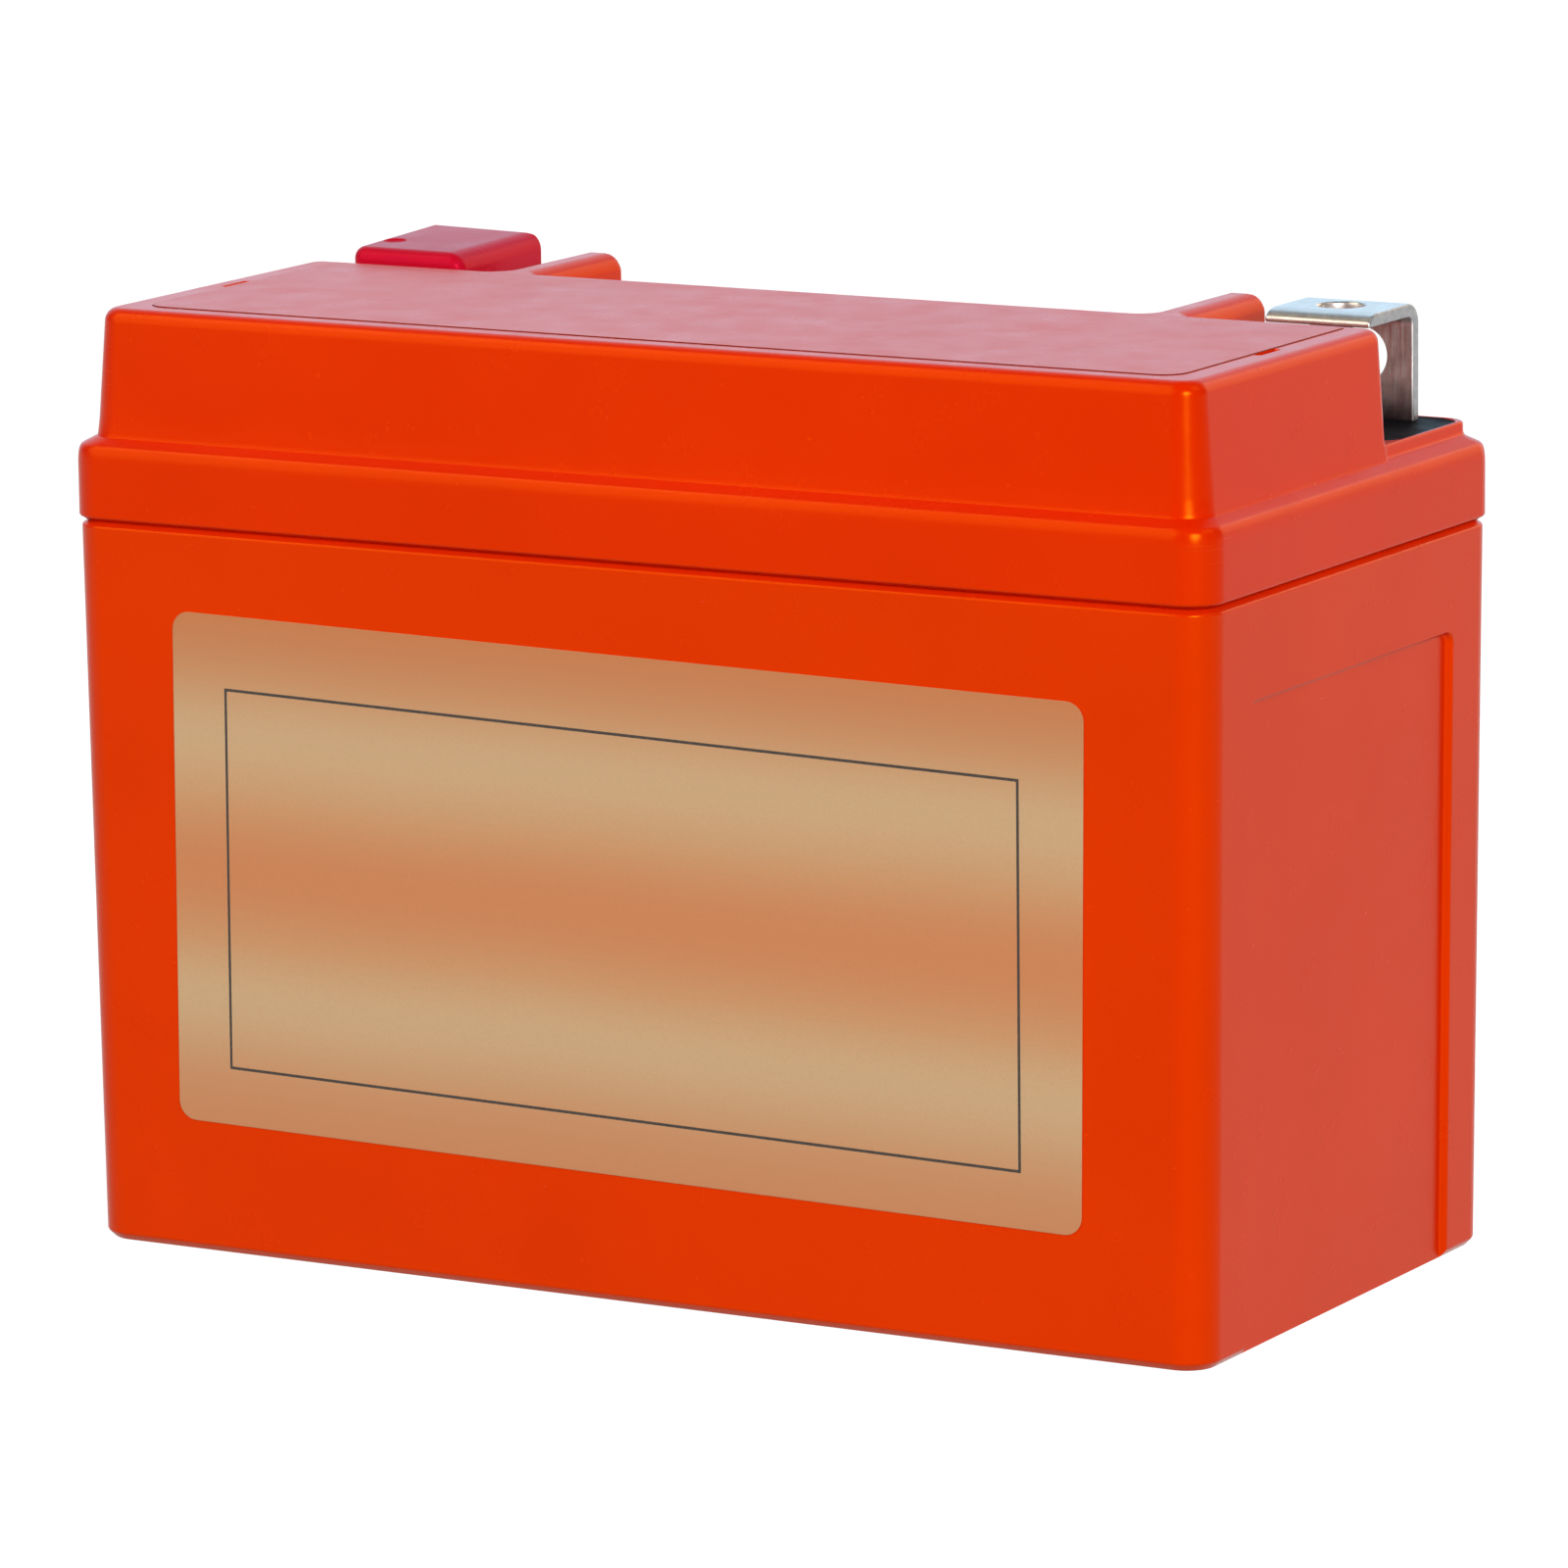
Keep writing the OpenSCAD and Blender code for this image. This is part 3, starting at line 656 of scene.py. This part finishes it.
def metal_strip(name, deep, light, smooth, rough, film=None):
    """Plated sheet: cool bright metal with rolling lines and pits, and optionally painted shade, near black, up to a
    height.
    """
    m, t, b = material(name)
    v = coords(t)
    tone = ramp(t, noise(t, v, 420.0, 4.0, 0.65), 0.3, 0.7)
    col = mix(t, tone, deep, light)
    pits = ramp(t, noise(t, v, 1500.0, 3.0, 0.7), 0.66, 0.74)
    col = mix(t, math_node(t, "MULTIPLY", pits, 0.5), col, (0.27, 0.25, 0.24))
    if film:
        # painted shade: the colour goes near black below the first given height and fades out by the second
        sep = t.nodes.new("ShaderNodeSeparateXYZ")
        t.links.new(v, sep.inputs["Vector"])
        h = math_node(t, "ADD", sep.outputs["Z"], math_node(t, "MULTIPLY", noise(t, v, 350.0, 2.0), 0.003))
        col = mix(t, ramp(t, h, film[0], film[1]), (0.04, 0.035, 0.04), col)
    t.links.new(col, b.inputs["Base Color"])
    b.inputs["Metallic"].default_value = 1.0
    lines = noise(t, coords(t, (2600.0, 160.0, 160.0)), 1.0, 2.0, 0.5)
    r = ramp(t, lines, 0.3, 0.7, smooth, rough)
    r = math_node(t, "ADD", r, math_node(t, "MULTIPLY", pits, 0.15))
    t.links.new(r, b.inputs["Roughness"])
    n1 = bump(t, noise(t, v, 300.0, 2.0), 0.3, 0.00006)
    n2 = bump(t, lines, 0.12, 0.00001, n1)
    n3 = bump(t, pits, 0.25, 0.00002, n2)
    t.links.new(n3, b.inputs["Normal"])
    return m


def sheared_edge(name):
    """Cut edge of the sheet: darker and rougher, with lines across its thickness."""
    m, t, b = material(name)
    v = coords(t)
    tone = ramp(t, noise(t, v, 900.0, 4.0, 0.65), 0.3, 0.7)
    t.links.new(mix(t, tone, (0.3, 0.31, 0.33), (0.42, 0.43, 0.45)), b.inputs["Base Color"])
    b.inputs["Metallic"].default_value = 1.0
    tear = noise(t, coords(t, (300.0, 2600.0, 2600.0)), 1.0, 3.0, 0.6)
    t.links.new(ramp(t, tear, 0.3, 0.7, 0.36, 0.52), b.inputs["Roughness"])
    t.links.new(bump(t, tear, 0.3, 0.00004), b.inputs["Normal"])
    return m


def resin(name, deep, light):
    m, t, b = material(name)
    v = coords(t)
    col = mix(t, ramp(t, noise(t, v, 180.0, 3.0), 0.3, 0.7), deep, light)
    t.links.new(col, b.inputs["Base Color"])
    t.links.new(ramp(t, noise(t, v, 300.0, 2.0), 0.3, 0.7, 0.46, 0.6), b.inputs["Roughness"])
    b.inputs["IOR"].default_value = 1.1
    t.links.new(bump(t, noise(t, v, 110.0, 1.0), 0.3, 0.0002), b.inputs["Normal"])
    return m


def foil(name):
    """Bronze film: satin bands across its height, fine grain."""
    m, t, b = material(name)
    v = coords(t)
    sep = t.nodes.new("ShaderNodeSeparateXYZ")
    t.links.new(v, sep.inputs["Vector"])
    # height on the film, following its slight tilt
    h = math_node(t, "ADD", sep.outputs["Z"], math_node(t, "MULTIPLY", sep.outputs["X"], 0.0131))
    h = math_node(t, "ADD", h, math_node(t, "MULTIPLY", math_node(t, "SUBTRACT", noise(t, v, 20.0, 1.0), 0.5), 0.002))
    f = ramp(t, h, 0.0176, 0.0886)
    cr = t.nodes.new("ShaderNodeValToRGB")
    cr.color_ramp.interpolation = "B_SPLINE"
    e = cr.color_ramp.elements
    bronze, pale, warm = (0.52, 0.18, 0.065), (0.56, 0.42, 0.245), (0.56, 0.185, 0.065)
    stops = [
        (0.0, (0.54, 0.22, 0.1)), (0.12, (0.54, 0.265, 0.128)), (0.25, pale), (0.36, (0.56, 0.285, 0.135)), (0.5, warm),
        (0.63, (0.56, 0.285, 0.135)), (0.765, pale), (0.88, (0.53, 0.25, 0.115)), (1.0, bronze),
    ]
    e[0].position, e[0].color = stops[0][0], (*stops[0][1], 1)
    e[1].position, e[1].color = stops[-1][0], (*stops[-1][1], 1)
    for p, c in stops[1:-1]:
        k = e.new(p)
        k.color = (*c, 1)
    t.links.new(f, cr.inputs["Fac"])
    grain = ramp(t, noise(t, v, 3000.0, 2.0, 0.6), 0.25, 0.75)
    col = mix(t, math_node(t, "MULTIPLY", grain, 0.16), cr.outputs["Color"], (0.4, 0.17, 0.07))
    t.links.new(col, b.inputs["Base Color"])
    b.inputs["Metallic"].default_value = 0.25
    t.links.new(ramp(t, noise(t, v, 700.0, 2.0), 0.3, 0.7, 0.4, 0.5), b.inputs["Roughness"])
    b.inputs["IOR"].default_value = 1.3
    n1 = bump(t, noise(t, v, 60.0, 1.0), 0.15, 0.0002)
    n2 = bump(t, noise(t, v, 2400.0, 1.0), 0.08, 0.00001, n1)
    t.links.new(n2, b.inputs["Normal"])
    return m


def ink(name):
    m, t, b = material(name)
    v = coords(t)
    col = mix(t, ramp(t, noise(t, v, 2500.0, 2.0), 0.3, 0.7), (0.018, 0.013, 0.01), (0.05, 0.032, 0.022))
    t.links.new(col, b.inputs["Base Color"])
    t.links.new(ramp(t, noise(t, v, 900.0, 1.0), 0.3, 0.7, 0.4, 0.55), b.inputs["Roughness"])
    return m


def dull(name, a, c, scale, rough, metallic=0.0, depth=0.0001, stretch=None):
    """Matt inner pieces: lead, paste, glass mat, rubber."""
    m, t, b = material(name)
    v = coords(t, stretch) if stretch else coords(t)
    n = noise(t, v, scale, 5.0, 0.65)
    t.links.new(mix(t, ramp(t, n, 0.3, 0.7), a, c), b.inputs["Base Color"])
    t.links.new(ramp(t, noise(t, v, scale * 2.3, 3.0), 0.3, 0.7, rough - 0.08, min(1.0, rough + 0.08)), b.inputs["Roughness"])
    b.inputs["Metallic"].default_value = metallic
    t.links.new(bump(t, n, 0.4, depth), b.inputs["Normal"])
    return m


orange = moulded_plastic("case_orange", (0.66, 0.0155, 0.0), (0.71, 0.0185, 0.0), 0.25, 1.2, (6.0, 2.0, 0.05))
orange_box = moulded_plastic("box_orange", (0.66, 0.019, 0.0), (0.71, 0.0225, 0.0), 0.25, 1.2, (6.0, 2.5, 0.05))
# painted shade in the seam round the top plate: a near-black orange for the plate's steep upper edge faces
seam_shade = moulded_plastic("seam_painted_shade", (0.12, 0.008, 0.003), (0.17, 0.012, 0.005), 0.4, 1.2, (3.0, 1.0, 0.3))
orange_top = moulded_plastic("plate_orange", (0.65, 0.0155, 0.0), (0.70, 0.0185, 0.0), 0.3, 1.22, (5.0, 1.7, 0.05), 0.04, 0.03, along=(60.0, 4200.0, 90.0))
red = moulded_plastic("cap_red", (0.5, 0.003, 0.02), (0.57, 0.005, 0.027), 0.3, 1.17, (6.0, 0.2, 0.9))
plated = metal_strip("terminal_plating", (0.62, 0.56, 0.53), (0.72, 0.66, 0.63), 0.3, 0.42)
# inner faces: duller plating with painted shade, near black up to 115.5 mm and fading out by 121.5 mm, next to the
# resin
plated_inside = metal_strip("terminal_inside", (0.5, 0.47, 0.46), (0.74, 0.71, 0.7), 0.42, 0.58, (0.1155, 0.1215))
sheared = sheared_edge("terminal_edge")
black_resin = resin("resin_black", (0.005, 0.005, 0.007), (0.011, 0.011, 0.015))
red_resin = resin("resin_red", (0.22, 0.006, 0.008), (0.3, 0.01, 0.012))
bronze_foil = foil("label_bronze")
line_ink = ink("label_line")
lead = dull("cast_lead", (0.16, 0.165, 0.185), (0.27, 0.275, 0.3), 320.0, 0.5, 0.7)
brown_paste = dull("positive_paste", (0.055, 0.022, 0.012), (0.1, 0.045, 0.027), 700.0, 0.85)
grey_paste = dull("negative_paste", (0.13, 0.135, 0.145), (0.21, 0.215, 0.225), 700.0, 0.8)
glass_mat = dull("glass_mat", (0.7, 0.7, 0.67), (0.86, 0.86, 0.84), 1.0, 0.9, 0.0, 0.0002, (500.0, 900.0, 2600.0))
rubber = dull("seal_rubber", (0.01, 0.01, 0.011), (0.022, 0.022, 0.023), 900.0, 0.7)

# ---------------------------------------------------------------- pieces
def add(ob, mats, body, node):
    ob.data.materials.clear()
    for m in mats:
        ob.data.materials.append(m)
    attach(ob, body)
    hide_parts(node)


add(make_container(), [orange_box], "battery", "container")
add(make_lid(), [orange], "battery", "lid")
plate = make_top_plate()
add(plate, [orange_top, seam_shade], "battery", "top_plate")
# the plate's steep faces near its top take the second material, which is painted shade for the seam
for p in plate.data.polygons:
    p.material_index = 1 if abs(p.normal.z) < 0.8 and p.center.z > 129.0 * MM else 0
add(make_cap(), [red], "cap", "positive_cap")
for s, name in ((1, "negative_terminal"), (-1, "positive_terminal")):
    strip = make_terminal(name + "_strip", s)
    add(strip, [plated, sheared, plated_inside], "battery", name)
    for p in strip.data.polygons:
        if abs(p.normal.x) > 0.75 and abs(abs(p.center.x) / MM - TERM_X) > 7:
            p.material_index = 1
        elif 110.5 * MM < p.center.z < 128.6 * MM and p.center.y < 36.5 * MM:
            # inner faces of the legs take the duller plating, with its painted shade near the foot
            p.material_index = 2
        else:
            p.material_index = 0
add(make_resin("negative_potting_resin", 1), [black_resin], "battery", "negative_potting")
add(make_resin("positive_potting_resin", -1), [red_resin], "battery", "positive_potting")
label, place, _ = make_label()
add(label, [bronze_foil, line_ink], "battery", "label")
# the printed frame line is the ring of faces between the two inner loops
per = len(label.data.vertices) // 7
for p in label.data.polygons:
    p.use_smooth = False
    ids = [v // per for v in p.vertices]
    if len(p.vertices) == 4 and min(ids) == 5 and max(ids) == 6:
        p.material_index = 1

for name, ob in nodes.items():
    if ob.hide_render:
        continue
    if "separators" in name:
        m = glass_mat
    elif "positive_plates" in name:
        m = brown_paste
    elif "negative_plates" in name:
        m = grey_paste
    elif "ring" in name or "valve" in name:
        m = rubber
    else:
        m = lead
    ob.data.materials.clear()
    ob.data.materials.append(m)

# ---------------------------------------------------------------- stage, light, camera
def make_floor():
    bm = bmesh.new()
    bmesh.ops.create_grid(bm, x_segments=1, y_segments=1, size=14.0)
    me = bpy.data.meshes.new("floor")
    bm.to_mesh(me)
    bm.free()
    ob = bpy.data.objects.new("floor", me)
    ob.location = (0, 0, -0.0002)
    scene.collection.objects.link(ob)
    m, t, b = material("floor_pale")
    b.inputs["Base Color"].default_value = (0.06, 0.06, 0.06, 1)
    b.inputs["Roughness"].default_value = 0.9
    b.inputs["IOR"].default_value = 1.02
    b.inputs["Emission Color"].default_value = (1, 1, 1, 1)
    b.inputs["Emission Strength"].default_value = 1.02
    geo = t.nodes.new("ShaderNodeNewGeometry")
    clear = t.nodes.new("ShaderNodeBsdfTransparent")
    pick = t.nodes.new("ShaderNodeMixShader")
    out = [n for n in t.nodes if n.type == "OUTPUT_MATERIAL"][0]
    t.links.new(geo.outputs["Backfacing"], pick.inputs["Fac"])
    t.links.new(b.outputs["BSDF"], pick.inputs[1])
    t.links.new(clear.outputs["BSDF"], pick.inputs[2])
    t.links.new(pick.outputs["Shader"], out.inputs["Surface"])
    ob.data.materials.append(m)
    ob.visible_diffuse = False


make_floor()

world = bpy.data.worlds.new("studio")
scene.world = world
world.use_nodes = True
wt = world.node_tree
bg = [n for n in wt.nodes if n.type == "BACKGROUND"][0]
tc = wt.nodes.new("ShaderNodeTexCoord")


def towards(axis, lo, hi):
    """How far a direction lies along an axis, as a soft step from 0 to 1."""
    d = wt.nodes.new("ShaderNodeVectorMath")
    d.operation = "DOT_PRODUCT"
    d.inputs[1].default_value = axis
    wt.links.new(tc.outputs["Generated"], d.inputs[0])
    return ramp(wt, d.outputs["Value"], lo, hi, 0.0, 1.0, "SMOOTHSTEP")


# dim room, a little brighter below, with a cool bright backdrop behind the battery
room = mix(wt, towards((0.0, 0.0, -1.0), -0.3, 0.3), (0.1, 0.102, 0.105), (0.25, 0.248, 0.245))
room = mix(wt, towards((-0.4850, 0.8544, 0.1868), 0.42, 0.95), room, (0.88, 1.24, 1.54))
wt.links.new(room, bg.inputs["Color"])
bg.inputs["Strength"].default_value = 1.0


def area_light(name, az, el, dist, size, power, colour=(1, 1, 1)):
    d = bpy.data.lights.new(name, "AREA")
    d.shape = "DISK"
    d.size = size
    d.energy = power
    d.color = colour
    ob = bpy.data.objects.new(name, d)
    a, e = math.radians(az), math.radians(el)
    back = Vector((math.sin(a) * math.cos(e), -math.cos(a) * math.cos(e), math.sin(e)))
    ob.location = Vector((0, 0, 0.065)) + back * dist
    ob.rotation_mode = "QUATERNION"
    ob.rotation_quaternion = (-back).to_track_quat("-Z", "Y")
    ob.visible_camera = False
    scene.collection.objects.link(ob)
    return ob


area_light("key", 44, 18, 2.6, 1.1, 59.0, (1.0, 0.985, 0.96))
area_light("fill", -36, 27, 2.2, 1.9, 19.5, (1.0, 0.95, 0.87))
area_light("overhead", -60, 52, 2.2, 0.9, 7.0, (1.0, 0.85, 0.55))
area_light("side", 98, 45, 2.2, 1.2, 5.0, (1.0, 0.96, 0.9))
area_light("rim", 159, 17, 2.2, 1.4, 9.0, (1.0, 0.7, 0.4))

# camera fitted to the straight edges of the case
cam_data = bpy.data.cameras.new("camera")
cam_data.sensor_width = 36.0
cam_data.lens = 36.0 * 9627.15 / 1600.0
cam_data.clip_start = 0.05
cam_data.clip_end = 60.0
cam = bpy.data.objects.new("camera", cam_data)
yaw, pitch, roll = 0.51540880, 0.18716849, -0.01166342
fwd = Vector((-math.sin(yaw) * math.cos(pitch), math.cos(yaw) * math.cos(pitch), -math.sin(pitch)))
right = Vector((math.cos(yaw), math.sin(yaw), 0.0))
down = fwd.cross(right)
r2 = right * math.cos(roll) - down * math.sin(roll)
d2 = right * math.sin(roll) + down * math.cos(roll)
cam.matrix_world = Matrix((
    (r2.x, -d2.x, -fwd.x, 0.626224),
    (r2.y, -d2.y, -fwd.y, -1.104799),
    (r2.z, -d2.z, -fwd.z, 0.304403),
    (0, 0, 0, 1),
))
scene.collection.objects.link(cam)
scene.camera = cam
scene.view_settings.view_transform = "Standard"
scene.view_settings.look = "None"
